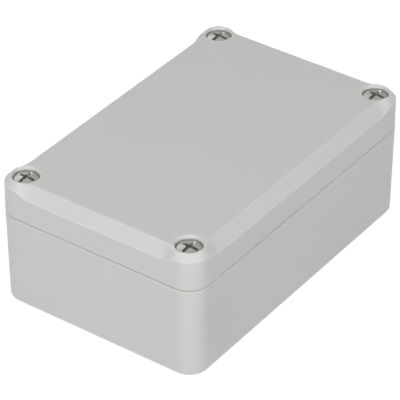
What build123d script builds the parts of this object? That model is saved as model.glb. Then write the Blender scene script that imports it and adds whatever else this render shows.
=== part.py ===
from build123d import *
import os
from math import atan, degrees, radians, tan

# A small sealed wall-mounting enclosure of moulded ABS: a deep base, a bevelled lid and a rubber seal
# between them. Four captive screws in the lid's corners run into brass inserts in the base.
# Millimetres. The origin is the centre of the underside, +X runs along the length, +Z points up.

# Outside form
length = 98.0
width = 64.0
height = 38.0
lid_height = 10.8
corner_radius = 6.0
draft_angle = 0.65
bottom_edge_radius = 1.0
rim_edge_radius = 0.25
rim_gap = 0.3
rim_gap_depth = 0.8

# Bevels along the lid's top edges, and the round lands that the screws sit in
bevel_width = 2.95
bevel_depth = 3.2
land_radius = 4.2
land_slope_angle = 40.0
bevel_blend_radius = 8.0
lid_edge_radius = 0.3

# Walls
wall = 3.0
floor_thickness = 3.0
lid_thickness = 3.0
inside_corner_radius = 2.5
inside_draft_angle = 0.5

# Corner pillars: one for the lid screw and, beside it, one with the well of a wall fixing
screw_inset = 5.85
pillar_radius = 6.0
fixing_pitch = 10.5
fixing_hole_diameter = 4.3
well_diameter = 8.0
well_floor = 4.0
well_core_roof = 4.65

# Bosses for a circuit board on the floor of the base
boss_inset = 5.0
boss_diameter = 6.0
boss_height = 5.0
boss_foot_radius = 0.6
pilot_diameter = 2.5
pilot_depth = 6.0

# Seal: a tongue on the base presses on a rubber strip in the lid's groove
tongue_width = 1.2
tongue_height = 1.4
tongue_clearance = 0.3
lip_width = 1.5
gasket_height = 1.6
gasket_clearance = 0.1

# Lid screws
thread_diameter = 4.0
thread_engagement = 4.8
thread_end_chamfer = 0.5
neck_diameter = 3.0
head_diameter = 7.0
head_height = 2.6
head_crown = 0.5
head_edge_radius = 0.4
head_sink = 0.5
head_clearance = 0.1
rim_lead_in = 0.3
rim_lead_in_depth = 0.8
seat_thickness = 1.8
screw_hole_clearance = 0.2

# Cross recess in the screw heads
recess_span = 5.6
recess_arm = 0.95
recess_core_diameter = 2.0
recess_tip_diameter = 2.0
recess_depth = 1.9
recess_taper_angle = 4.0

# Captive rings on the screws' necks, and the brass inserts below them
ring_diameter = 6.4
ring_thickness = 1.2
ring_section_radius = 0.3
ring_gap = 0.3
ring_room_clearance = 0.4
running_clearance = 0.05
insert_diameter = 5.6
insert_length = 6.0
insert_sink = 2.0
insert_mouth_chamfer = 0.3
insert_bore_extra = 1.2

# How faces and edges are told apart: two sizes closer than this are the same, and a direction whose
# rise is above this share of an upright one's is that of a drafted wall
same_size = 0.01
steep_rise = 0.95

# Levels
base_height = height - lid_height
head_seat_z = height - head_sink - head_height
seat_underside_z = head_seat_z - seat_thickness
insert_top_z = base_height - insert_sink
ring_bottom_z = insert_top_z + ring_gap
thread_top_z = ring_bottom_z - running_clearance
thread_tip_z = insert_top_z - thread_engagement

# Places
screw_x = length / 2 - screw_inset
screw_y = width / 2 - screw_inset
fixing_y = screw_y - fixing_pitch
centre_half_length = screw_x - pillar_radius
centre_half_width = width / 2 - wall
end_half_width = fixing_y - pillar_radius
end_half_length = length / 2 - wall
boss_x = centre_half_length - boss_inset
boss_y = centre_half_width - boss_inset

# Radii that several pieces share
insert_radius = insert_diameter / 2
ring_room_radius = ring_diameter / 2 + ring_room_clearance
head_bore_radius = head_diameter / 2 + head_clearance
ring_bore_radius = neck_diameter / 2 + running_clearance

os.makedirs("parts", exist_ok=True)


def level(z):
    """Horizontal plane at height z."""
    return Plane.XY.offset(z)


def corners(x, y):
    """The four places at plus and minus x and y, on the plane in use."""
    return GridLocations(2 * x, 2 * y, 2, 2)


def upright(x, y):
    """Plane standing on the vertical line through (x, y), with its own y pointing up."""
    return Plane(origin=(x, y, 0), x_dir=(1, 0, 0), z_dir=(0, -1, 0))


def vertical(x, y):
    """Vertical axis through (x, y)."""
    return Axis((x, y, 0), (0, 0, 1))


def interior(z, grow=0.0):
    """Plan of the space inside the base at height z, moved outwards by grow all round.

    It is a wide middle between the pillars and a long strip between the wells. The four corners that
    point into the space are rounded round the pillars of the wells.
    """
    corner_x = centre_half_length + grow
    corner_y = end_half_width + grow
    with BuildSketch(level(z)) as plan:
        RectangleRounded(2 * corner_x, 2 * (centre_half_width + grow), inside_corner_radius + grow)
        RectangleRounded(2 * (end_half_length + grow), 2 * corner_y, inside_corner_radius + grow)
        pillar_corners = plan.vertices().filter_by(
            lambda v: abs(abs(v.X) - corner_x) < same_size and abs(abs(v.Y) - corner_y) < same_size
        )
        fillet(pillar_corners, pillar_radius - grow)
    return plan.sketch


def band(z, inner, outer):
    """Closed band at height z between two distances outside the edge of the interior."""
    return interior(z, outer) - interior(z, inner)


# Base: a drafted box whose floor and pillars are cored from above
with BuildPart() as base:
    with BuildSketch(level(base_height)):
        RectangleRounded(length, width, corner_radius)
    extrude(amount=-base_height, taper=draft_angle)
    fillet(base.faces().sort_by(Axis.Z)[0].edges(), bottom_edge_radius)
    fillet(base.faces().sort_by(Axis.Z)[-1].edges(), rim_edge_radius)
    extrude(
        interior(base_height),
        amount=floor_thickness - base_height,
        taper=inside_draft_angle,
        mode=Mode.SUBTRACT,
    )

    # Tongue that the seal sits on
    extrude(band(base_height, 0, tongue_width), amount=tongue_height)

    # Bosses for a circuit board
    with BuildSketch(level(floor_thickness)):
        with corners(boss_x, boss_y):
            Circle(boss_diameter / 2)
    extrude(amount=boss_height)
    boss_circles = base.edges().filter_by(GeomType.CIRCLE).filter_by(
        lambda e: abs(e.radius - boss_diameter / 2) < same_size
    )
    boss_feet = boss_circles.filter_by(lambda e: abs(e.center().Z - floor_thickness) < same_size)
    fillet(boss_feet, boss_foot_radius)
    with Locations(level(floor_thickness + boss_height)):
        with corners(boss_x, boss_y):
            Hole(pilot_diameter / 2, depth=pilot_depth)

    # Wells for the wall fixings, open under the lid
    with Locations(level(base_height)):
        with corners(screw_x, fixing_y):
            CounterBoreHole(fixing_hole_diameter / 2, well_diameter / 2, base_height - well_floor)

    # Insert bores with a wider mouth that gives the captive rings room
    with Locations(level(base_height)):
        with corners(screw_x, screw_y):
            CounterBoreHole(
                insert_radius,
                ring_room_radius,
                insert_sink,
                depth=insert_sink + insert_length + insert_bore_extra,
            )

base.part.label = "base"
export_step(base.part, "parts/base.step")


# Crown: the lid's bevelled upper form, carried down to the parting line. The bevels are the sides of
# a widening box. A cone round each screw stands in its corner, with a hollow blend to each bevel.
bevel_angle = degrees(atan(bevel_width / bevel_depth))
draft_inset = lid_height * tan(radians(draft_angle))
top_half_length = length / 2 - draft_inset - bevel_width
top_half_width = width / 2 - draft_inset - bevel_width
land_foot_radius = land_radius + lid_height * tan(radians(land_slope_angle))

with BuildPart() as crown:
    with BuildSketch(level(height)):
        RectangleRounded(2 * top_half_length, 2 * top_half_width, top_half_length - screw_x)
    extrude(amount=-lid_height, taper=-bevel_angle)
    with Locations(level(height)):
        with corners(screw_x, screw_y):
            Cone(land_foot_radius, land_radius, lid_height, align=(Align.CENTER, Align.CENTER, Align.MAX))
    valleys = crown.edges().filter_by(lambda e: e.geom_type not in (GeomType.LINE, GeomType.CIRCLE))
    fillet(valleys, bevel_blend_radius)

# Lid
with BuildPart() as lid:
    with BuildSketch(level(base_height + rim_gap)):
        RectangleRounded(length, width, corner_radius)
    extrude(amount=lid_height - rim_gap, taper=draft_angle)
    add(crown.part, mode=Mode.INTERSECT)
    side_walls = lid.faces().filter_by(lambda f: 1 - abs(f.normal_at(f.center()).Z) > steep_rise)
    bevel_feet = side_walls.edges().filter_by(
        lambda e: e.center().Z > base_height + rim_gap + same_size and abs(e.tangent_at(0.5).Z) < steep_rise
    )
    fillet(lid.faces().sort_by(Axis.Z)[-1].edges() + bevel_feet, lid_edge_radius)
    fillet(lid.faces().sort_by(Axis.Z)[0].edges(), rim_edge_radius)

    # The lid bears on the base inside a narrow gap, which shows as a line round the closed box
    with BuildSketch(level(base_height)):
        RectangleRounded(length - 2 * rim_gap_depth, width - 2 * rim_gap_depth, corner_radius - rim_gap_depth)
    extrude(amount=rim_gap)

    # Space inside, drawn at its roof and widening downwards, and the groove round it for the seal
    room_depth = lid_height - lid_thickness
    roof_inset = tongue_clearance + lip_width + room_depth * tan(radians(inside_draft_angle))
    extrude(
        interior(height - lid_thickness, -roof_inset),
        amount=-room_depth,
        taper=-inside_draft_angle,
        mode=Mode.SUBTRACT,
    )
    groove = band(base_height, -tongue_clearance, tongue_width + tongue_clearance)
    extrude(groove, amount=tongue_height + gasket_height, mode=Mode.SUBTRACT)

    # Screw holes: a counterbore with a lead-in for the head, and room for the captive ring below
    with Locations(level(height)):
        with corners(screw_x, screw_y):
            CounterBoreHole(
                thread_diameter / 2 + screw_hole_clearance,
                head_bore_radius,
                height - head_seat_z,
            )
            Cone(
                head_bore_radius,
                head_bore_radius + rim_lead_in,
                rim_lead_in_depth,
                align=(Align.CENTER, Align.CENTER, Align.MAX),
                mode=Mode.SUBTRACT,
            )
    with BuildSketch(level(base_height)):
        with corners(screw_x, screw_y):
            Circle(ring_room_radius)
    extrude(amount=seat_underside_z - base_height, mode=Mode.SUBTRACT)

    # Cores over the wells keep the corners from sinking
    with BuildSketch(level(base_height)):
        with corners(screw_x, fixing_y):
            Circle(well_diameter / 2)
    extrude(amount=lid_height - well_core_roof, mode=Mode.SUBTRACT)

lid.part.label = "lid"
export_step(lid.part, "parts/lid.step")


# Gasket: a rubber strip that fills the top of the groove
with BuildPart() as gasket:
    strip = band(
        base_height + tongue_height,
        gasket_clearance - tongue_clearance,
        tongue_width + tongue_clearance - gasket_clearance,
    )
    extrude(strip, amount=gasket_height)

gasket.part.label = "gasket"
export_step(gasket.part, "parts/gasket.step")


def make_recess(x, y, top_z):
    """Space of a cross recess: four arms and a core, with the arms' ends cut back by a cone."""
    with BuildPart() as recess:
        with BuildSketch(level(top_z)):
            with Locations((x, y)):
                Rectangle(recess_span, recess_arm)
                Rectangle(recess_arm, recess_span)
                Circle(recess_core_diameter / 2)
        extrude(amount=-recess_depth, taper=recess_taper_angle)
        with Locations((x, y, top_z)):
            Cone(
                recess_tip_diameter / 2,
                recess_span / 2,
                recess_depth,
                align=(Align.CENTER, Align.CENTER, Align.MAX),
                mode=Mode.INTERSECT,
            )
    return recess.part


def make_screw(x, y):
    """Captive lid screw, done up: a crowned head, a thin neck and a thread at the end."""
    head_top_z = head_seat_z + head_height
    head_radius = head_diameter / 2
    head_side_z = head_top_z - head_crown
    crown_middle_z = head_top_z - head_crown / 4
    with BuildPart() as screw:
        with BuildSketch(upright(x, y)):
            with BuildLine():
                Polyline(
                    (0, head_top_z),
                    (0, thread_tip_z),
                    (thread_diameter / 2 - running_clearance - thread_end_chamfer, thread_tip_z),
                    (thread_diameter / 2 - running_clearance, thread_tip_z + thread_end_chamfer),
                    (thread_diameter / 2 - running_clearance, thread_top_z),
                    (neck_diameter / 2, thread_top_z),
                    (neck_diameter / 2, head_seat_z),
                    (head_radius, head_seat_z),
                    (head_radius, head_side_z),
                )
                ThreePointArc((head_radius, head_side_z), (head_radius / 2, crown_middle_z), (0, head_top_z))
            make_face()
        revolve(axis=vertical(x, y))
        head_edge = screw.edges().filter_by(GeomType.CIRCLE).filter_by(
            lambda e: abs(e.radius - head_radius) < same_size and abs(e.center().Z - head_side_z) < same_size
        )
        fillet(head_edge, head_edge_radius)
        add(make_recess(x, y, head_top_z), mode=Mode.SUBTRACT)
    return screw


def make_ring(x, y):
    """Captive ring that stays on a screw's neck, above the thread."""
    with BuildPart() as ring:
        with BuildSketch(level(ring_bottom_z)):
            with Locations((x, y)):
                Circle(ring_diameter / 2)
                Circle(ring_bore_radius, mode=Mode.SUBTRACT)
        extrude(amount=ring_thickness)
        outer_edges = ring.edges().filter_by(GeomType.CIRCLE).filter_by(
            lambda e: e.radius > ring_bore_radius + same_size
        )
        fillet(outer_edges, ring_section_radius)
    return ring


def make_insert(x, y):
    """Brass insert in its bore, with a countersunk mouth."""
    with BuildPart() as insert:
        with BuildSketch(level(insert_top_z)):
            with Locations((x, y)):
                Circle(insert_radius)
                Circle(thread_diameter / 2, mode=Mode.SUBTRACT)
        extrude(amount=-insert_length)
        mouth = insert.faces().sort_by(Axis.Z)[-1].edges().sort_by(SortBy.RADIUS)[0]
        chamfer(mouth, insert_mouth_chamfer)
    return insert


for number, place in enumerate(corners(screw_x, screw_y), start=1):
    x = place.position.X
    y = place.position.Y
    for name, piece in (
        ("lid_screw", make_screw(x, y)),
        ("retaining_ring", make_ring(x, y)),
        ("threaded_insert", make_insert(x, y)),
    ):
        piece.part.label = f"{name}_{number}"
        export_step(piece.part, f"parts/{name}_{number}.step")
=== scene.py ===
"""Looks of a small sealed ABS enclosure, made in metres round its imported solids.

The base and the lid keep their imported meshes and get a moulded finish. The lid screws, the captive
rings on their necks, the threaded inserts and the seal are made here as closed stacks of rings and
take the place of the plain solids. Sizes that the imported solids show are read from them.
"""

import logging
from dataclasses import dataclass, field
from enum import Enum
from typing import Any

import bpy
import numpy as np
from mathutils import Matrix, Vector


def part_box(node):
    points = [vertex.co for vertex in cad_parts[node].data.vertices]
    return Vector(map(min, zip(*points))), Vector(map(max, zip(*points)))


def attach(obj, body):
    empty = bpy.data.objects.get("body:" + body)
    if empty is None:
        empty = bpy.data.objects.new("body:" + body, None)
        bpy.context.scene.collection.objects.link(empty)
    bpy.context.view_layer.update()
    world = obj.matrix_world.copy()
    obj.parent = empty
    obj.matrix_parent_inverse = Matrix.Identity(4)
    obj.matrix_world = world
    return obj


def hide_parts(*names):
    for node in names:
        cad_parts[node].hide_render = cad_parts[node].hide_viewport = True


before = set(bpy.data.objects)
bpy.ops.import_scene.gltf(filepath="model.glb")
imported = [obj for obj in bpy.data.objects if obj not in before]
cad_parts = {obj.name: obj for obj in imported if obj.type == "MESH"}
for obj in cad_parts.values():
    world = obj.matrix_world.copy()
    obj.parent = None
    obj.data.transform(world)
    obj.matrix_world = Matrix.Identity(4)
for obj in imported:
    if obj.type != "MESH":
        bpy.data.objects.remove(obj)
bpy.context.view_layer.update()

log = logging.getLogger("enclosure")

Colour = tuple[float, float, float]
TURN = 2 * np.pi
MM = 0.001
CORNERS = (1, 2, 3, 4)


class Slot(Enum):
    """Material slots of the part's record, for the pieces that are made here."""

    SEAL = "seal_rubber"
    SCREW = "screw_steel"
    RING = "ring_rubber"
    INSERT = "insert_brass"


# Nodes and finishes


@dataclass
class Wiring:
    """Places nodes in one tree and joins their sockets."""

    tree: bpy.types.NodeTree

    def add(
        self, kind: str, inputs: dict[str | int, Any] | None = None, **settings: Any
    ) -> bpy.types.Node:
        """Add one node and fill its inputs.

        Args:
            kind: Blender's name of the node's type, without its first word.
            inputs: for an input's name or number, a value or the socket that feeds it.
            settings: properties of the node.

        Returns:
            The new node.
        """
        node = self.tree.nodes.new(f"ShaderNode{kind}")
        for name, value in settings.items():
            setattr(node, name, value)
        for name, value in (inputs or {}).items():
            if isinstance(value, bpy.types.NodeSocket):
                self.tree.links.new(value, node.inputs[name])
            else:
                node.inputs[name].default_value = value
        return node

    def math(self, operation: str, *values: Any) -> bpy.types.NodeSocket:
        """Add a Math node on values or sockets and return its output."""
        return self.add("Math", dict(enumerate(values)), operation=operation).outputs[0]


def new_group(
    name: str, inputs: dict[str, str], outputs: dict[str, str]
) -> tuple[Wiring, Any, Any]:
    """Start a shader node group.

    Args:
        name: the group's name.
        inputs: for each input's name, its kind of socket.
        outputs: for each output's name, its kind of socket.

    Returns:
        The group's wiring, the sockets that its inputs arrive at, and those that its outputs leave
        by.
    """
    tree = bpy.data.node_groups.new(name, "ShaderNodeTree")
    for way, sockets in (("INPUT", inputs), ("OUTPUT", outputs)):
        for label, kind in sockets.items():
            tree.interface.new_socket(label, in_out=way, socket_type=f"NodeSocket{kind}")
    arrive = tree.nodes.new("NodeGroupInput")
    leave = tree.nodes.new("NodeGroupOutput")
    return Wiring(tree), arrive.outputs, leave.inputs


class Effects:
    """Surface effects that several finishes share, each a node group that is built once."""

    DRIFT_DETAIL = 3.0
    GRAIN_DETAIL = 2.0
    LINE_DETAIL = 2.0
    SMEAR_SCALE = 900.0
    SMEAR_DETAIL = 1.0
    SMEAR_SHARE = 0.25

    def __init__(self) -> None:
        """Build the groups."""
        self.drift = self._drift()
        self.grain = self._grain()
        self.turning = self._turning()

    def _drift(self) -> bpy.types.NodeTree:
        """Slow change of tone over a surface.

        The colour is scaled by one plus the amount times a soft noise that runs from minus one to
        one, and the same noise is put out as a mask for the roughness.
        """
        wiring, arrive, leave = new_group(
            "tone_drift",
            {"Vector": "Vector", "Colour": "Color", "Scale": "Float", "Amount": "Float"},
            {"Colour": "Color", "Mask": "Float"},
        )
        noise = wiring.add(
            "TexNoise",
            {"Vector": arrive["Vector"], "Scale": arrive["Scale"], "Detail": self.DRIFT_DETAIL},
        )
        mask = wiring.math("MULTIPLY_ADD", noise.outputs["Fac"], 2.0, -1.0)
        gain = wiring.math("MULTIPLY_ADD", mask, arrive["Amount"], 1.0)
        toned = wiring.add("VectorMath", {0: arrive["Colour"], "Scale": gain}, operation="SCALE")
        wiring.tree.links.new(toned.outputs["Vector"], leave["Colour"])
        wiring.tree.links.new(mask, leave["Mask"])
        return wiring.tree

    def _grain(self) -> bpy.types.NodeTree:
        """Fine grain of a mould or of rubber.

        The height is a fine noise plus a share of small round pits, which are the distance to
        scattered points.
        """
        wiring, arrive, leave = new_group(
            "surface_grain",
            {"Vector": "Vector", "Scale": "Float", "Pits": "Float"},
            {"Height": "Float"},
        )
        noise = wiring.add(
            "TexNoise",
            {"Vector": arrive["Vector"], "Scale": arrive["Scale"], "Detail": self.GRAIN_DETAIL},
        )
        pits = wiring.add("TexVoronoi", {"Vector": arrive["Vector"], "Scale": arrive["Scale"]})
        height = wiring.math(
            "MULTIPLY_ADD", pits.outputs["Distance"], arrive["Pits"], noise.outputs["Fac"]
        )
        wiring.tree.links.new(height, leave["Height"])
        return wiring.tree

    def _turning(self) -> bpy.types.NodeTree:
        """Fine lines left by a lathe.

        The first coordinate of the surface runs along its profile. A noise of that coordinate
        alone gives lines that go round the piece, and a faint noise of both coordinates breaks
        them up.
        """
        wiring, arrive, leave = new_group(
            "turned_lines",
            {"Vector": "Vector", "Lines": "Float"},
            {"Height": "Float", "Mask": "Float"},
        )
        parts = wiring.add("SeparateXYZ", {0: arrive["Vector"]})
        along = wiring.math("MULTIPLY", parts.outputs["X"], arrive["Lines"])
        lines = wiring.add(
            "TexNoise",
            {"W": along, "Scale": 1.0, "Detail": self.LINE_DETAIL},
            noise_dimensions="1D",
        )
        smear = wiring.add(
            "TexNoise",
            {"Vector": arrive["Vector"], "Scale": self.SMEAR_SCALE, "Detail": self.SMEAR_DETAIL},
        )
        height = wiring.math(
            "MULTIPLY_ADD", smear.outputs["Fac"], self.SMEAR_SHARE, lines.outputs["Fac"]
        )
        wiring.tree.links.new(height, leave["Height"])
        wiring.tree.links.new(lines.outputs["Fac"], leave["Mask"])
        return wiring.tree


def new_material(name: str) -> tuple[bpy.types.Material, Wiring, bpy.types.Node]:
    """Start a material that has a Principled BSDF, and return it with its wiring and that node."""
    material = bpy.data.materials.new(name)
    material.use_nodes = True
    return material, Wiring(material.node_tree), material.node_tree.nodes["Principled BSDF"]


@dataclass(frozen=True)
class Finish:
    """What each finish has: a colour that drifts slowly over the surface, and a roughness."""

    name: str
    colour: Colour
    roughness: float
    roughness_spread: float
    drift_size: float
    drift_amount: float

    def _drift(self, wiring: Wiring, effects: Effects, place: Any, colour: Any) -> bpy.types.Node:
        """Add the slow drift of tone.

        Args:
            wiring: the material's nodes.
            effects: the shared node groups.
            place: the socket that gives the place on the surface.
            colour: the colour that drifts, or the socket that gives it.

        Returns:
            The drift's node.
        """
        inputs = {
            "Vector": place,
            "Colour": colour,
            "Scale": 1 / self.drift_size,
            "Amount": self.drift_amount,
        }
        return wiring.add("Group", inputs, node_tree=effects.drift)

    def _join(
        self, wiring: Wiring, skin: bpy.types.Node, tone: Any, mask: Any, height: Any, depth: float
    ) -> None:
        """Feed the shader.

        The roughness is the finish's own plus its spread times the mask, and the normal is that of
        a surface raised by the height times the depth.

        Args:
            wiring: the material's nodes.
            skin: its shader.
            tone: the socket that gives the colour.
            mask: the socket that gives the mask of the roughness.
            height: the socket that gives the height.
            depth: length that a height of one stands for.
        """
        bump = wiring.add("Bump", {"Strength": 1.0, "Distance": depth, "Height": height})
        rough = wiring.math("MULTIPLY_ADD", mask, self.roughness_spread, self.roughness)
        wiring.tree.links.new(tone, skin.inputs["Base Color"])
        wiring.tree.links.new(rough, skin.inputs["Roughness"])
        wiring.tree.links.new(bump.outputs["Normal"], skin.inputs["Normal"])


@dataclass(frozen=True)
class MouldedFinish(Finish):
    """Matt skin of a moulded plastic or rubber: a slow drift of tone and a fine grain.

    The share of the light that enters the skin spreads under it by about the glow depth, which
    softens narrow gaps and edges as it does in a pale plastic.
    """

    grain_size: float
    grain_depth: float
    pits: float
    glow_share: float = 0.0
    glow_depth: float = 0.0

    def material(self, effects: Effects) -> bpy.types.Material:
        """Make the material.

        Args:
            effects: the shared node groups.

        Returns:
            The material, which reads Object coordinates.
        """
        material, wiring, skin = new_material(self.name)
        place = wiring.add("TexCoord").outputs["Object"]
        drift = self._drift(wiring, effects, place, (*self.colour, 1))
        inputs = {"Vector": place, "Scale": 1 / self.grain_size, "Pits": self.pits}
        grain = wiring.add("Group", inputs, node_tree=effects.grain)
        tone, mask = drift.outputs["Colour"], drift.outputs["Mask"]
        self._join(wiring, skin, tone, mask, grain.outputs["Height"], self.grain_depth)
        skin.inputs["Subsurface Weight"].default_value = self.glow_share
        skin.inputs["Subsurface Radius"].default_value = (1.0, 1.0, 1.0)
        skin.inputs["Subsurface Scale"].default_value = self.glow_depth
        return material


@dataclass(frozen=True)
class TurnedFinish(Finish):
    """Bright turned metal, with the lathe's fine lines round the piece.

    Up to a given length along the profile, in millimetres, the metal has a lighter colour of its
    own. This is painted light in a screw's cross recess, whose deep walls and floor get little
    light. A length of zero stands for none.
    """

    lines: float
    line_depth: float
    painted_light_length: float = 0.0
    painted_light_colour: Colour = (0.0, 0.0, 0.0)

    def _colour(self, wiring: Wiring, surface: Any) -> Any:
        """Choose between the metal's colour and the lighter colour of the painted light in the
        recess.

        Args:
            wiring: the material's nodes.
            surface: the socket that gives the place on the piece's UV map.

        Returns:
            The colour, or the socket that gives it.
        """
        if not self.painted_light_length:
            return (*self.colour, 1)
        # Painted light: the recess's floor and walls, up to the given length along the profile, take
        # the lighter colour.
        along = wiring.add("SeparateXYZ", {0: surface}).outputs["X"]
        painted_light_mask = wiring.math("LESS_THAN", along, self.painted_light_length)
        inputs = {"Factor": painted_light_mask, "A": (*self.colour, 1), "B": (*self.painted_light_colour, 1)}
        return wiring.add("Mix", inputs, data_type="RGBA").outputs["Result"]

    def material(self, effects: Effects) -> bpy.types.Material:
        """Make the material.

        Args:
            effects: the shared node groups.

        Returns:
            The material, which reads Object coordinates for its drift of tone and the piece's UV
            map for its lines and for the painted light in its recess.
        """
        material, wiring, skin = new_material(self.name)
        places = wiring.add("TexCoord").outputs
        colour = self._colour(wiring, places["UV"])
        drift = self._drift(wiring, effects, places["Object"], colour)
        inputs = {"Vector": places["UV"], "Lines": self.lines}
        turning = wiring.add("Group", inputs, node_tree=effects.turning)
        tone, mask = drift.outputs["Colour"], turning.outputs["Mask"]
        self._join(wiring, skin, tone, mask, turning.outputs["Height"], self.line_depth)
        skin.inputs["Metallic"].default_value = 1.0
        return material


ABS_FINISH = MouldedFinish(
    name="moulded_abs",
    colour=(0.617, 0.617, 0.604),
    roughness=0.5,
    roughness_spread=0.04,
    drift_size=24 * MM,
    drift_amount=0.012,
    grain_size=0.22 * MM,
    grain_depth=0.012 * MM,
    pits=0.35,
    glow_share=1.0,
    glow_depth=1.2 * MM,
)
SEAL_FINISH = MouldedFinish(
    name="seal_rubber",
    colour=(0.022, 0.022, 0.023),
    roughness=0.72,
    roughness_spread=0.08,
    drift_size=6 * MM,
    drift_amount=0.1,
    grain_size=0.12 * MM,
    grain_depth=0.02 * MM,
    pits=0.8,
)
RING_FINISH = MouldedFinish(
    name="ring_rubber",
    colour=(0.016, 0.016, 0.017),
    roughness=0.55,
    roughness_spread=0.06,
    drift_size=3 * MM,
    drift_amount=0.08,
    grain_size=0.1 * MM,
    grain_depth=0.005 * MM,
    pits=0.2,
)
STEEL_FINISH = TurnedFinish(
    name="turned_steel",
    colour=(0.315, 0.315, 0.294),
    roughness=0.3,
    roughness_spread=0.12,
    drift_size=2 * MM,
    drift_amount=0.05,
    lines=14.0,
    line_depth=0.004 * MM,
    # painted light: a lighter colour on the cross recess's floor and walls, which get little light
    painted_light_length=1.8,
    painted_light_colour=(0.51, 0.51, 0.465),
)
BRASS_FINISH = TurnedFinish(
    name="turned_brass",
    colour=(0.75, 0.54, 0.24),
    roughness=0.26,
    roughness_spread=0.12,
    drift_size=2 * MM,
    drift_amount=0.06,
    lines=12.0,
    line_depth=0.004 * MM,
)


# Surfaces


class Ends(Enum):
    """How a stack of rings ends."""

    POLES = "a point closes each end"
    LOOP = "the last ring joins the first"


@dataclass
class RingStack:
    """Closed surface made of rings of points, given from the top centre outwards and down.

    Edges that bend by more than the sharp angle, in degrees, are shaded sharp.
    """

    SHARP_ANGLE = 32.0

    rings: np.ndarray
    ends: Ends

    def _profile_lengths(self) -> np.ndarray:
        """Length run along the first column, in millimetres, to each ring and back to the first."""
        column = self.rings[:, 0]
        steps = np.linalg.norm(np.roll(column, -1, axis=0) - column, axis=1)
        return np.concatenate([[0.0], np.cumsum(steps)]) / MM

    def faces(self) -> tuple[np.ndarray, np.ndarray]:
        """Corner numbers and UV places of the quads between neighbouring rings.

        Ring i and column j meet ring i + 1 and column j + 1, counted round. The UV place is the
        length run along the profile, in millimetres, and the share of a turn.

        Returns:
            Corner numbers, one row of four a face, and UV places, one row a corner.
        """
        rows, columns = self.rings.shape[:2]
        bands = rows if self.ends is Ends.LOOP else rows - 1
        i, j = np.meshgrid(np.arange(bands), np.arange(columns), indexing="ij")
        ring = np.stack([i, i + 1, i + 1, i], axis=-1).reshape(-1, 4)
        column = np.stack([j, j, j + 1, j + 1], axis=-1).reshape(-1, 4)
        corners = (ring % rows) * columns + column % columns
        places = np.stack([self._profile_lengths()[ring], column / columns], axis=-1)
        return corners, places.reshape(-1, 2)

    def fans(self) -> tuple[np.ndarray, np.ndarray, np.ndarray]:
        """Pole points and the triangles that join them to the first and the last ring.

        Returns:
            The two poles, corner numbers, one row of three a face, and UV places, one row a corner.
        """
        rows, columns = self.rings.shape[:2]
        lengths = self._profile_lengths()
        j = np.arange(columns)
        first, last = j, (rows - 1) * columns + j
        poles = self.rings[[0, -1]].mean(axis=1)
        tip = np.full(columns, rows * columns)
        corners = np.concatenate(
            [
                np.stack([tip, first, np.roll(first, -1)], axis=-1),
                np.stack([tip + 1, np.roll(last, -1), last], axis=-1),
            ]
        )
        share = np.stack([j + 0.5, j, j + 1], axis=-1) / columns
        back = np.stack([j + 0.5, j + 1, j], axis=-1) / columns
        along = np.broadcast_to([0.0, lengths[0], lengths[0]], share.shape)
        along_back = np.full(share.shape, lengths[rows - 1])
        places = np.concatenate(
            [np.stack([along, share], axis=-1), np.stack([along_back, back], axis=-1)]
        )
        return poles, corners, places.reshape(-1, 2)

    def piece(self, name: str, material: bpy.types.Material) -> bpy.types.Object:
        """Put the surface into a mesh object.

        Args:
            name: the piece's name.
            material: its finish.

        Returns:
            The object, at the origin, with its place in its mesh.
        """
        points = self.rings.reshape(-1, 3)
        quads, places = self.faces()
        triangles = np.empty((0, 3), int)
        if self.ends is Ends.POLES:
            poles, triangles, pole_places = self.fans()
            points = np.concatenate([points, poles])
            places = np.concatenate([places, pole_places])
        loops = np.concatenate([quads.ravel(), triangles.ravel()])
        sizes = np.concatenate([np.full(len(quads), 4), np.full(len(triangles), 3)])
        starts = np.concatenate([[0], np.cumsum(sizes)[:-1]])

        mesh = bpy.data.meshes.new(name)
        mesh.vertices.add(len(points))
        mesh.vertices.foreach_set("co", points.astype(np.float32).ravel())
        mesh.loops.add(len(loops))
        mesh.loops.foreach_set("vertex_index", loops.astype(np.int32))
        mesh.polygons.add(len(sizes))
        mesh.polygons.foreach_set("loop_start", starts.astype(np.int32))
        mesh.update(calc_edges=True)
        surface = mesh.uv_layers.new(name="surface").uv
        surface.foreach_set("vector", places.astype(np.float32).ravel())
        mesh.polygons.foreach_set("use_smooth", np.ones(len(sizes), bool))
        mesh.set_sharp_from_angle(angle=np.radians(self.SHARP_ANGLE))
        mesh.materials.append(material)
        piece = bpy.data.objects.new(name, mesh)
        bpy.context.scene.collection.objects.link(piece)
        return piece


def arc(
    centre: tuple[float, float], radius: float, start: float, end: float, count: int
) -> np.ndarray:
    """Points of a circular arc.

    Each point is the centre plus the radius times the cosine and the sine of an angle that runs
    evenly from start to end.

    Args:
        centre: the arc's centre.
        radius: its radius.
        start: first angle, in degrees.
        end: last angle, in degrees.
        count: number of points.

    Returns:
        The points, one row each.
    """
    angle = np.radians(np.linspace(start, end, count))
    return np.array(centre) + radius * np.stack([np.cos(angle), np.sin(angle)], axis=-1)


def around(radius: np.ndarray | float, angles: np.ndarray, height: np.ndarray) -> np.ndarray:
    """Rings about the Z axis.

    A point at radius r and height z, turned by angle a, lies at (r cos a, r sin a, z).

    Args:
        radius: radius of each point, or one a ring, or one for all.
        angles: angle of each column, in radians, for all rings or one row a ring.
        height: height of each ring, as a column.

    Returns:
        The rings, numbered by ring, column and coordinate.
    """
    places = np.broadcast_arrays(radius * np.cos(angles), radius * np.sin(angles), height)
    return np.stack(places, axis=-1)


def turned(profile: np.ndarray, angles: np.ndarray) -> np.ndarray:
    """Turn a profile, given as a row of radius and height a ring, round the Z axis."""
    return around(profile[:, :1], angles, profile[:, 1:])


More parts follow.
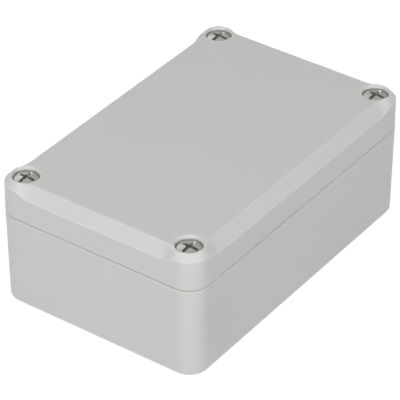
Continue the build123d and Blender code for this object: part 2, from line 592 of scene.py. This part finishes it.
@dataclass(frozen=True)
class Thread:
    """Right-hand thread of 60 degrees on the Z axis."""

    crest_radius: float = 1.95 * MM
    pitch: float = 0.7 * MM
    crest_flat: float = 1 / 8
    root_flat: float = 1 / 4
    flank_angle: float = 30.0

    @property
    def depth(self) -> float:
        """Radial height of the flanks, which stand at the flank angle to the radius."""
        flank_width = self.pitch * (1 - self.crest_flat - self.root_flat) / 2
        return flank_width / np.tan(np.radians(self.flank_angle))

    def radius(self, height: np.ndarray, angle: np.ndarray) -> np.ndarray:
        """Radius of the thread's surface.

        The height over the pitch, less the share of a turn, gives the place on a ridge. A triangle
        wave of it, cut flat at the crest and at the root, gives the share of the depth above the
        root.

        Args:
            height: heights along the axis.
            angle: angles about it, in radians.

        Returns:
            The radius at each height and angle.
        """
        phase = height / self.pitch - angle / TURN
        wave = np.abs(2 * (phase - np.floor(phase)) - 1)
        share = (wave - self.root_flat) / (1 - self.crest_flat - self.root_flat)
        return self.crest_radius - self.depth * (1 - np.clip(share, 0, 1))


# Pieces


@dataclass
class Place:
    """Where a piece that stands on a vertical axis is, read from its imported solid."""

    x: float
    y: float
    bottom: float
    top: float
    radius: float

    @classmethod
    def of(cls, node: str) -> "Place":
        """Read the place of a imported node."""
        low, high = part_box(node)
        x, y = (low.x + high.x) / 2, (low.y + high.y) / 2
        return cls(x, y, low.z, high.z, (high.x - low.x) / 2)

    def put(self, rings: np.ndarray) -> np.ndarray:
        """Move rings about the Z axis to this axis."""
        return rings + np.array([self.x, self.y, 0.0])


@dataclass
class Crown:
    """Shallow dome of a screw head: part of a ball that drops by its rise at its rim."""

    top: float
    rim_radius: float
    rise: float

    @property
    def ball(self) -> float:
        """Radius of the ball."""
        return (self.rim_radius**2 + self.rise**2) / (2 * self.rise)

    def drop(self, radius: np.ndarray) -> np.ndarray:
        """Drop below the top, which is the ball's radius less a leg of a right triangle."""
        return self.ball - np.sqrt(self.ball**2 - radius**2)


@dataclass
class CrossRecess:
    """Cross recess of a screw head, with four arms that grow shorter downwards."""

    span: float = 5.6 * MM
    arm: float = 0.95 * MM
    foot_span: float = 3.7 * MM
    depth: float = 1.9 * MM
    wall_slope: float = 4.0
    tip_radius: float = 0.15 * MM
    corner_radius: float = 0.45 * MM
    levels: int = 7
    tip_points: int = 4
    side_points: int = 9
    corner_points: int = 6
    edge_rounds: int = 8

    def outline(self, reach: float, half: float) -> np.ndarray:
        """Outline of the cross.

        One eighth runs from the middle of an arm's tip, round the tip's corner, along the arm's
        side and round half the hollow corner between two arms. Mirrored about the diagonal and
        turned by quarter turns, it gives the whole outline.

        Args:
            reach: distance from the middle to an arm's tip.
            half: half an arm's width.

        Returns:
            The outline's points, one row each, anticlockwise from the arm on the X axis.
        """
        tip, hollow, count = self.tip_radius, self.corner_radius, self.corner_points
        eighth = np.concatenate(
            [
                np.linspace((reach, 0), (reach, half - tip), self.tip_points)[:-1],
                arc((reach - tip, half - tip), tip, 0, 90, count)[:-1],
                np.linspace((reach - tip, half), (half + hollow, half), self.side_points)[:-1],
                arc((half + hollow, half + hollow), hollow, 270, 225, count),
            ]
        )
        quarter = np.concatenate([eighth, eighth[-2:0:-1, ::-1]])
        turns = [quarter @ np.linalg.matrix_power([[0, 1], [-1, 0]], k) for k in range(4)]
        return np.concatenate(turns)

    def rings(self, crown: Crown) -> np.ndarray:
        """Rings of the recess, from its bottom up to its edge on the head's crown.

        Each point of the outline moves inwards in proportion to its depth. The edge lies at the
        depth at which the crown has dropped as far, found by repeating the two formulas in turn.
        """
        foot_half = self.arm / 2 - self.depth * np.tan(np.radians(self.wall_slope))
        wide = self.outline(self.span / 2, self.arm / 2)
        foot = self.outline(self.foot_span / 2, foot_half)
        edge = np.zeros(len(wide))
        for _ in range(self.edge_rounds):
            at_edge = wide + (edge / self.depth)[:, None] * (foot - wide)
            edge = crown.drop(np.linalg.norm(at_edge, axis=1))
        depths = self.depth + np.linspace(0, 1, self.levels)[:, None] * (edge - self.depth)
        plan = wide + (depths / self.depth)[..., None] * (foot - wide)
        return np.concatenate([plan, (crown.top - depths)[..., None]], axis=-1)


@dataclass
class LidScrew:
    """Captive lid screw: a crowned head with a cross recess, a thin neck and a thread."""

    number: int
    length: float = 17.1 * MM
    head_height: float = 2.6 * MM
    crown_rise: float = 0.5 * MM
    head_edge: float = 0.4 * MM
    under_edge: float = 0.1 * MM
    neck_radius: float = 1.5 * MM
    neck_fillet: float = 0.2 * MM
    thread_length: float = 5.05 * MM
    thread_fade: float = 0.35 * MM
    end_chamfer: float = 0.5 * MM
    thread: Thread = field(default_factory=Thread)
    recess: CrossRecess = field(default_factory=CrossRecess)
    rows_a_pitch: int = 14
    edge_points: int = 9
    under_points: int = 4
    fillet_points: int = 6
    neck_rings: int = 6
    face_rings: int = 7

    def __post_init__(self) -> None:
        """Read the screw's place."""
        self.node = f"lid_screw_{self.number}"
        self.place = Place.of(self.node)
        self.top = self.place.bottom + self.length

    def _head(self, angles: np.ndarray, crown: Crown) -> np.ndarray:
        """Head from the crown's edge to the foot of the neck's fillet, as a turned profile.

        The edge's arc starts at the crown's own slope, at which its centre lies below the crown.
        """
        radius = self.place.radius
        seat = self.top - self.head_height
        edge, under, fillet = self.head_edge, self.under_edge, self.neck_fillet
        slope = np.arcsin((radius - edge) / (crown.ball - edge))
        edge_z = self.top - crown.ball + (crown.ball - edge) * np.cos(slope)
        profile = np.concatenate(
            [
                arc((radius - edge, edge_z), edge, 90 - np.degrees(slope), 0, self.edge_points),
                arc((radius - under, seat + under), under, 0, -90, self.under_points),
                arc(
                    (self.neck_radius + fillet, seat - fillet), fillet, 90, 180, self.fillet_points
                ),
            ]
        )
        return turned(profile, angles)

    def _threaded_end(self, start_angles: np.ndarray) -> np.ndarray:
        """Neck and threaded end.

        The radius is the thread's own, but no more than a cone that fades it in below the neck and
        a chamfer at the tip. The columns pass from the recess's uneven angles to even ones on the
        neck.

        Args:
            start_angles: angles of the columns above the neck.

        Returns:
            The rings from the neck's top to the tip.
        """
        seat = self.top - self.head_height
        thread_top = self.place.bottom + self.thread_length
        even = np.arange(len(start_angles)) / len(start_angles) * TURN
        neck_height = np.linspace(seat - self.neck_fillet, thread_top, self.neck_rings)[1:, None]
        blend = np.linspace(0, 1, len(neck_height))[:, None]
        neck_angles = (1 - blend) * start_angles + blend * even
        neck = around(self.neck_radius, neck_angles, neck_height)

        count = round(self.thread_length / self.thread.pitch * self.rows_a_pitch)
        height = np.linspace(thread_top, self.place.bottom, count)[1:, None]
        fade_in = self.neck_radius + (thread_top - height) / self.thread_fade * self.thread.depth
        tip_radius = self.thread.crest_radius - self.end_chamfer
        chamfer = tip_radius + height - self.place.bottom
        radius = np.minimum(np.minimum(self.thread.radius(height, even), fade_in), chamfer)
        return np.concatenate([neck, around(radius, even, height)])

    def build(self, material: bpy.types.Material) -> bpy.types.Object:
        """Make the screw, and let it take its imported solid's place."""
        crown = Crown(self.top, self.place.radius, self.crown_rise)
        recess = self.recess.rings(crown)
        edge = recess[-1]
        angles = np.arctan2(edge[:, 1], edge[:, 0]) % TURN
        head = self._head(angles, crown)
        face = np.linspace(edge, head[0], self.face_rings)[1:-1]
        face[..., 2] = crown.top - crown.drop(np.linalg.norm(face[..., :2], axis=-1))
        end = self._threaded_end(angles)
        rings = np.concatenate([recess, face, head, end])
        stack = RingStack(self.place.put(rings), Ends.POLES)
        piece = stack.piece(f"turned_screw_{self.number}", material)
        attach(piece, f"screw_{self.number}")
        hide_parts(self.node)
        return piece


@dataclass
class CaptiveRing:
    """Rubber ring on a screw's neck, with soft edges and a faint parting line of its mould."""

    number: int
    bore_radius: float = 1.55 * MM
    edge: float = 0.3 * MM
    bore_edge: float = 0.12 * MM
    flash: float = 0.025 * MM
    columns: int = 96
    bore_points: int = 5
    edge_points: int = 7

    def build(self, material: bpy.types.Material) -> bpy.types.Object:
        """Make the ring as a turned profile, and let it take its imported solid's place."""
        node = f"retaining_ring_{self.number}"
        place = Place.of(node)
        top, bottom = place.top, place.bottom
        flash, edge, bore_edge = self.flash, self.edge, self.bore_edge
        middle = (top + bottom) / 2
        inner = self.bore_radius + bore_edge
        outer = place.radius - flash
        profile = np.concatenate(
            [
                arc((inner, top - bore_edge), bore_edge, 180, 90, self.bore_points),
                arc((outer - edge, top - edge), edge, 90, 0, self.edge_points),
                [(outer, middle + flash), (outer + flash, middle), (outer, middle - flash)],
                arc((outer - edge, bottom + edge), edge, 0, -90, self.edge_points),
                arc((inner, bottom + bore_edge), bore_edge, 270, 180, self.bore_points),
            ]
        )
        angles = np.arange(self.columns) / self.columns * TURN
        stack = RingStack(place.put(turned(profile, angles)), Ends.LOOP)
        piece = stack.piece(f"captive_ring_{self.number}", material)
        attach(piece, f"captive_{self.number}")
        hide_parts(node)
        return piece


@dataclass
class ThreadedInsert:
    """Brass insert: two knurled bands with a groove between them, and a thread in its bore."""

    number: int
    mouth: float = 0.3 * MM
    outer_chamfer: float = 0.2 * MM
    groove_width: float = 0.9 * MM
    groove_depth: float = 0.25 * MM
    knurl_depth: float = 0.16 * MM
    knurl_teeth: int = 32
    knurl_twist: float = 25.0
    thread_clearance: float = 0.05 * MM
    thread: Thread = field(default_factory=Thread)
    columns: int = 192
    rows_a_pitch: int = 12
    band_rows: int = 12

    def __post_init__(self) -> None:
        """Read the insert's place."""
        self.node = f"threaded_insert_{self.number}"
        self.place = Place.of(self.node)
        self.angles = np.arange(self.columns) / self.columns * TURN

    def _knurled(self, low: float, high: float, twist: float) -> np.ndarray:
        """Knurled band between two heights.

        The teeth are a triangle wave of the angle plus a twist that grows downwards. They fade out
        in the chamfers at both ends of the band.

        Args:
            low: height of the band's lower end.
            high: height of its upper end.
            twist: slope of the teeth against the axis, as a tangent.

        Returns:
            The band's rings, from its top down.
        """
        radius, chamfer = self.place.radius, self.outer_chamfer
        between = np.linspace(high - chamfer, low + chamfer, self.band_rows)
        height = np.concatenate([[high], between, [low]])[:, None]
        turn = self.angles + twist * (high - height) / radius
        share = turn * self.knurl_teeth / TURN
        wave = np.abs(2 * (share - np.floor(share)) - 1)
        surface = radius - self.knurl_depth * wave
        surface[[0, -1]] = radius - chamfer
        return around(surface, self.angles, height)

    def _bore(self) -> np.ndarray:
        """Threaded bore from the bottom to the mouth, in step with the screw's thread.

        The radius is the screw thread's plus the clearance, and at least that of the countersinks
        at both ends.
        """
        top, bottom, clearance = self.place.top, self.place.bottom, self.thread_clearance
        count = round((top - bottom) / self.thread.pitch * self.rows_a_pitch)
        height = np.linspace(bottom, top, count)[:, None]
        into = np.minimum(height - bottom, top - height)
        countersink = self.thread.crest_radius + clearance + self.mouth - into
        radius = np.maximum(self.thread.radius(height, self.angles) + clearance, countersink)
        return around(radius, self.angles, height)

    def build(self, material: bpy.types.Material) -> bpy.types.Object:
        """Make the insert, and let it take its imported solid's place."""
        middle = (self.place.top + self.place.bottom) / 2
        half_groove = self.groove_width / 2
        twist = np.tan(np.radians(self.knurl_twist))
        floor = self.place.radius - self.groove_depth
        upper = self._knurled(middle + half_groove, self.place.top, twist)
        lower = self._knurled(self.place.bottom, middle - half_groove, -twist)
        sides = np.array([[middle + half_groove], [middle - half_groove]])
        groove = around(floor, self.angles, sides)
        rings = np.concatenate([upper, groove, lower, self._bore()])
        stack = RingStack(self.place.put(rings), Ends.LOOP)
        piece = stack.piece(f"knurled_insert_{self.number}", material)
        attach(piece, "housing")
        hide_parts(self.node)
        return piece


@dataclass
class Seal:
    """Rubber strip that runs round the lid's groove, with rounded edges."""

    strip_width: float = 1.6 * MM
    edge: float = 0.35 * MM
    wide_half_length: float = 37.75 * MM
    end_half_width: float = 10.25 * MM
    round_corner: float = 3.1 * MM
    hollow_corner: float = 5.4 * MM
    corner_points: int = 12
    run_points: int = 10
    edge_points: int = 6

    def _quarter(self, half_length: float, half_width: float) -> np.ndarray:
        """Middle line of the strip in the quarter where X and Y are above zero.

        It runs anticlockwise from the end on the X axis to the side on the Y axis, through a round
        corner, a hollow one and a round one, with straight runs between them.
        """
        outer, hollow, count = self.round_corner, self.hollow_corner, self.corner_points
        ex, ey, wx, wy = half_length, self.end_half_width, self.wide_half_length, half_width
        corners = [
            arc((ex - outer, ey - outer), outer, 0, 90, count),
            arc((wx + hollow, ey + hollow), hollow, 270, 180, count),
            arc((wx - outer, wy - outer), outer, 0, 90, count),
        ]
        ends = [np.array([(ex, 0.0)]), *corners, np.array([(0.0, wy)])]
        line = []
        for before, after in zip(ends, ends[1:]):
            line += [before, np.linspace(before[-1], after[0], self.run_points)[1:-1]]
        return np.concatenate(line)

    def build(self, material: bpy.types.Material) -> bpy.types.Object:
        """Make the seal: a rounded section carried square to its middle line, and level with it."""
        low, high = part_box("gasket")
        half = self.strip_width / 2
        quarter = self._quarter(high.x - half, high.y - half)
        flipped = quarter[:0:-1]
        line = np.concatenate(
            [
                quarter,
                [(0.0, high.y - half)],
                flipped * (-1, 1),
                [(half - high.x, 0.0)],
                quarter[1:] * (-1, -1),
                [(0.0, half - high.y)],
                flipped * (1, -1),
            ]
        )
        ahead = np.roll(line, -1, axis=0) - np.roll(line, 1, axis=0)
        out = np.stack([ahead[:, 1], -ahead[:, 0]], axis=-1)
        out /= np.linalg.norm(out, axis=1, keepdims=True)
        edge, count = self.edge, self.edge_points
        section = np.concatenate(
            [
                arc((edge - half, high.z - edge), edge, 180, 90, count),
                arc((half - edge, high.z - edge), edge, 90, 0, count),
                arc((half - edge, low.z + edge), edge, 0, -90, count),
                arc((edge - half, low.z + edge), edge, 270, 180, count),
            ]
        )
        plan = line + section[:, :1, None] * out
        heights = np.broadcast_to(section[:, 1:, None], (*plan.shape[:2], 1))
        stack = RingStack(np.concatenate([plan, heights], axis=-1), Ends.LOOP)
        piece = stack.piece("rubber_seal", material)
        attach(piece, "cover")
        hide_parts("gasket")
        return piece


def dress_shells(material: bpy.types.Material) -> None:
    """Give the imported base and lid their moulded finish."""
    for node in ("base", "lid"):
        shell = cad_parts[node]
        shell.data.materials.clear()
        shell.data.materials.append(material)
        log.info("%s dressed as %s", node, material.name)


# Stage


@dataclass(frozen=True)
class Lamp:
    """Round soft lamp: the way to it from the object, its power and its diameter."""

    name: str
    direction: tuple[float, float, float]
    power: float
    size: float


LAMPS = (
    Lamp("end_lamp", (-1.0, 0.0, 0.42), 3.16, 0.3),
    Lamp("side_lamp", (-0.15, -1.0, 0.40), 2.48, 0.3),
    Lamp("top_lamp", (-0.1, -0.1, 1.0), 1.16, 0.3),
    Lamp("back_lamp", (0.46, 0.66, 0.60), 0.4, 0.3),
    Lamp("rear_lamp", (0.85, 0.52, 0.1), 0.6, 0.3),
)


def grey(tone: float) -> tuple[float, float, float, float]:
    """Give a grey as a colour with its opacity."""
    return tone, tone, tone, 1.0


@dataclass(frozen=True)
class Studio:
    """Camera, lamps, pale floor and white surroundings."""

    azimuth: float = -54.252
    elevation: float = 35.112
    distance: float = 0.678456
    target_right: float = 1.288 * MM
    target_up: float = 17.939 * MM
    lens: float = 229.774
    sensor: float = 36.0
    nearest: float = 0.05
    farthest: float = 10.0
    lamp_distance: float = 0.8
    sky: float = 0.24
    floor_size: float = 3.0
    floor_gap: float = 0.02 * MM
    floor_tone: float = 0.62
    floor_shown: float = 0.3
    floor_glow: float = 0.84

    def camera(self) -> None:
        """Place the camera as it stood for the photograph.

        It looks against the direction that its azimuth and elevation give, past the middle of the
        lid's top, which its right and up offsets move off the picture's centre.
        """
        turn, rise = np.radians(self.azimuth), np.radians(self.elevation)
        level = np.cos(rise)
        back = Vector((np.sin(turn) * level, -np.cos(turn) * level, np.sin(rise)))
        right = Vector((0, 0, 1)).cross(back).normalized()
        up = back.cross(right)
        target = Vector((0, 0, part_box("lid")[1].z))
        data = bpy.data.cameras.new("camera")
        data.sensor_width, data.lens = self.sensor, self.lens
        data.clip_start, data.clip_end = self.nearest, self.farthest
        camera = bpy.data.objects.new("camera", data)
        axes = Matrix((right, up, back)).transposed().to_4x4()
        place = target + back * self.distance - right * self.target_right - up * self.target_up
        camera.matrix_world = Matrix.Translation(place) @ axes
        bpy.context.scene.collection.objects.link(camera)
        bpy.context.scene.camera = camera

    def hang(self, lamp: Lamp) -> None:
        """Hang a lamp that shines on the middle of the object."""
        data = bpy.data.lights.new(lamp.name, "AREA")
        data.shape, data.size, data.energy = "DISK", lamp.size, lamp.power
        light = bpy.data.objects.new(lamp.name, data)
        way = Vector(lamp.direction).normalized()
        turn = way.to_track_quat("Z", "Y").to_matrix().to_4x4()
        light.matrix_world = Matrix.Translation(way * self.lamp_distance) @ turn
        bpy.context.scene.collection.objects.link(light)

    def floor(self) -> None:
        """Lay a pale floor that looks white to the camera and still takes the object's shadow."""
        half = self.floor_size / 2
        mesh = bpy.data.meshes.new("floor")
        corners = [(-half, -half, 0), (half, -half, 0), (half, half, 0), (-half, half, 0)]
        mesh.from_pydata(corners, [], [(0, 1, 2, 3)])
        floor = bpy.data.objects.new("floor", mesh)
        floor.location.z = -self.floor_gap
        material, wiring, skin = new_material("floor")
        wiring.tree.nodes.remove(skin)
        seen = self._seen(wiring)
        shown = wiring.add("BsdfDiffuse", {"Color": grey(self.floor_shown)})
        glow = wiring.add("Emission", {"Strength": self.floor_glow})
        white = wiring.add("AddShader", {0: shown.outputs[0], 1: glow.outputs[0]})
        plain = wiring.add("BsdfDiffuse", {"Color": grey(self.floor_tone)})
        mixed = wiring.add("MixShader", {0: seen, 1: plain.outputs[0], 2: white.outputs[0]})
        out = wiring.tree.nodes["Material Output"]
        wiring.tree.links.new(mixed.outputs[0], out.inputs["Surface"])
        mesh.materials.append(material)
        bpy.context.scene.collection.objects.link(floor)

    @staticmethod
    def _seen(wiring: Wiring) -> bpy.types.NodeSocket:
        """One for rays from the camera, straight or by gloss or glass, and zero for others."""
        path = wiring.add("LightPath").outputs
        gloss = wiring.math("MAXIMUM", path["Is Glossy Ray"], path["Is Transmission Ray"])
        return wiring.math("MAXIMUM", path["Is Camera Ray"], gloss)

    def surroundings(self) -> None:
        """Make the world white to the camera and in gloss, and a plain soft light otherwise."""
        world = bpy.data.worlds.new("surroundings")
        world.use_nodes = True
        wiring = Wiring(world.node_tree)
        background = world.node_tree.nodes["Background"]
        inputs = {"Factor": self._seen(wiring), "A": self.sky, "B": 1.0}
        strength = wiring.add("Mix", inputs, data_type="FLOAT")
        background.inputs["Color"].default_value = grey(1.0)
        wiring.tree.links.new(strength.outputs["Result"], background.inputs["Strength"])
        bpy.context.scene.world = world

    def build(self) -> None:
        """Set the stage."""
        scene = bpy.context.scene
        scene.view_settings.view_transform = "Standard"
        self.camera()
        for lamp in LAMPS:
            self.hang(lamp)
        self.floor()
        self.surroundings()


def main() -> None:
    """Build and dress the pieces in order, and set the stage round them."""
    logging.basicConfig(level=logging.INFO, format="%(message)s")
    effects = Effects()
    dress_shells(ABS_FINISH.material(effects))
    steel = STEEL_FINISH.material(effects)
    rubber = RING_FINISH.material(effects)
    brass = BRASS_FINISH.material(effects)
    pieces = [Seal().build(SEAL_FINISH.material(effects))]
    for number in CORNERS:
        pieces.append(LidScrew(number).build(steel))
        pieces.append(CaptiveRing(number).build(rubber))
        pieces.append(ThreadedInsert(number).build(brass))
    for piece in pieces:
        log.info("%s: %d faces", piece.name, len(piece.data.polygons))
    Studio().build()


if __name__ == "__main__":
    main()
